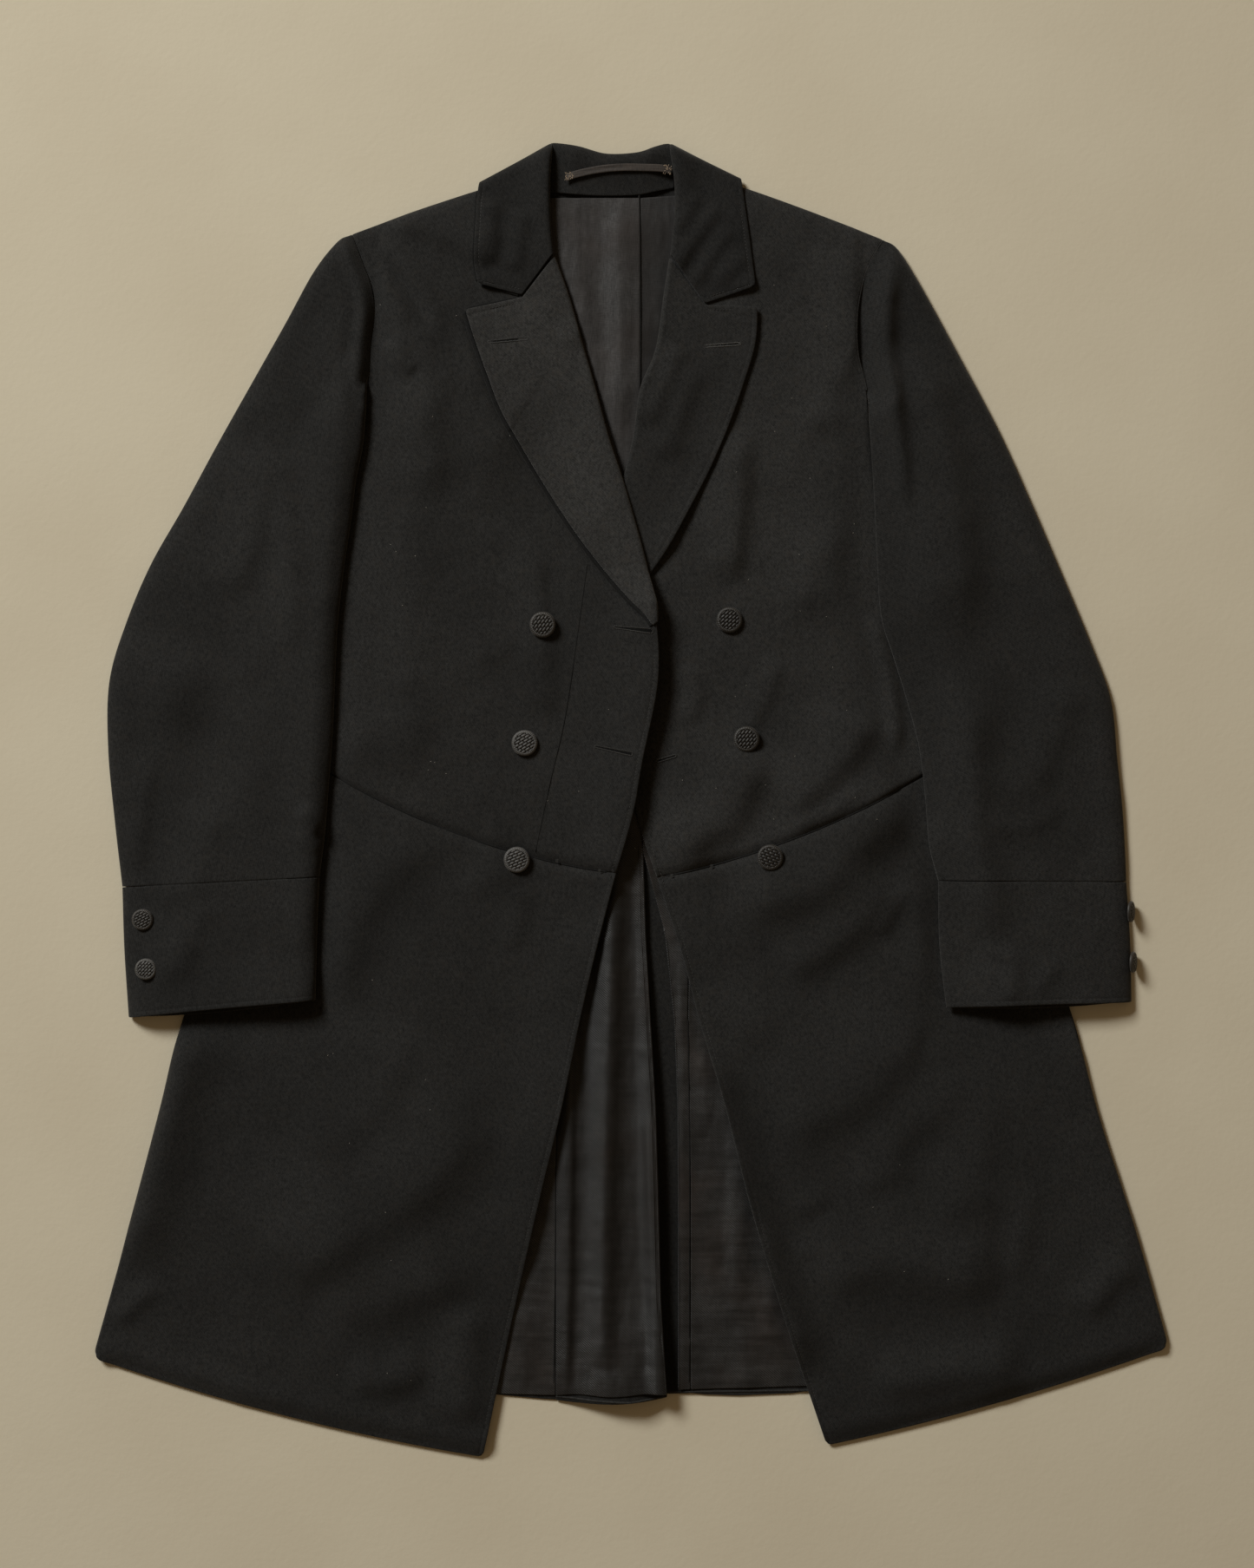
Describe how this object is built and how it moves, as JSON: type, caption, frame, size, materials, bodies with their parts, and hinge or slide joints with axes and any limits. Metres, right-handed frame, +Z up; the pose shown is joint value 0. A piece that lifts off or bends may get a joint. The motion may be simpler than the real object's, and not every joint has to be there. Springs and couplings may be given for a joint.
{
  "type": "frock coat",
  "caption": "Double-breasted wool frock coat laid flat, with peaked lapels, waist seam, full skirts, centre vent and buttoned cuffs.",
  "frame": {"origin": "middle of the coat's bounding box, on the surface that it lies on", "axes": "+Z up from the surface, +Y towards the collar, +X to the right as seen from above"},
  "size_m": [0.8318, 1.016, 0.0168],
  "materials": {
    "wool": "matt black wool broadcloth with a short nap",
    "grey_lining": "dull grey body lining",
    "black_lining": "black twill lining with a soft lustre",
    "woven_button": "button covered in basket-woven thread",
    "loop_tape": "brown woven tape"
  },
  "bodies": {
    "root": {"back_left": "wool", "back_right": "wool", "side_body_left": "wool", "side_body_right": "wool", "forepart_left": "wool", "forepart_right": "wool", "skirt_left": "wool", "skirt_right": "wool", "lapel_left": "wool", "lapel_right": "wool", "collar_leaf_left": "wool", "collar_leaf_right": "wool", "collar_stand": "wool", "collar_fall": "wool", "sleeve_top_left": "wool", "sleeve_top_right": "wool", "sleeve_under_left": "wool", "sleeve_under_right": "wool", "cuff_left": "wool", "cuff_right": "wool", "lining_back_left": "grey_lining", "lining_back_right": "grey_lining", "lining_skirt_left": "black_lining", "lining_skirt_right": "black_lining", "lining_tail_left": "black_lining", "lining_tail_right": "black_lining", "hanger_loop": "loop_tape", "button_left_1": "woven_button", "button_left_2": "woven_button", "button_left_3": "woven_button", "button_right_1": "woven_button", "button_right_2": "woven_button", "button_right_3": "woven_button", "cuff_button_left_1": "woven_button", "cuff_button_left_2": "woven_button", "cuff_button_right_1": "woven_button", "cuff_button_right_2": "woven_button"}
  },
  "joints": []
}
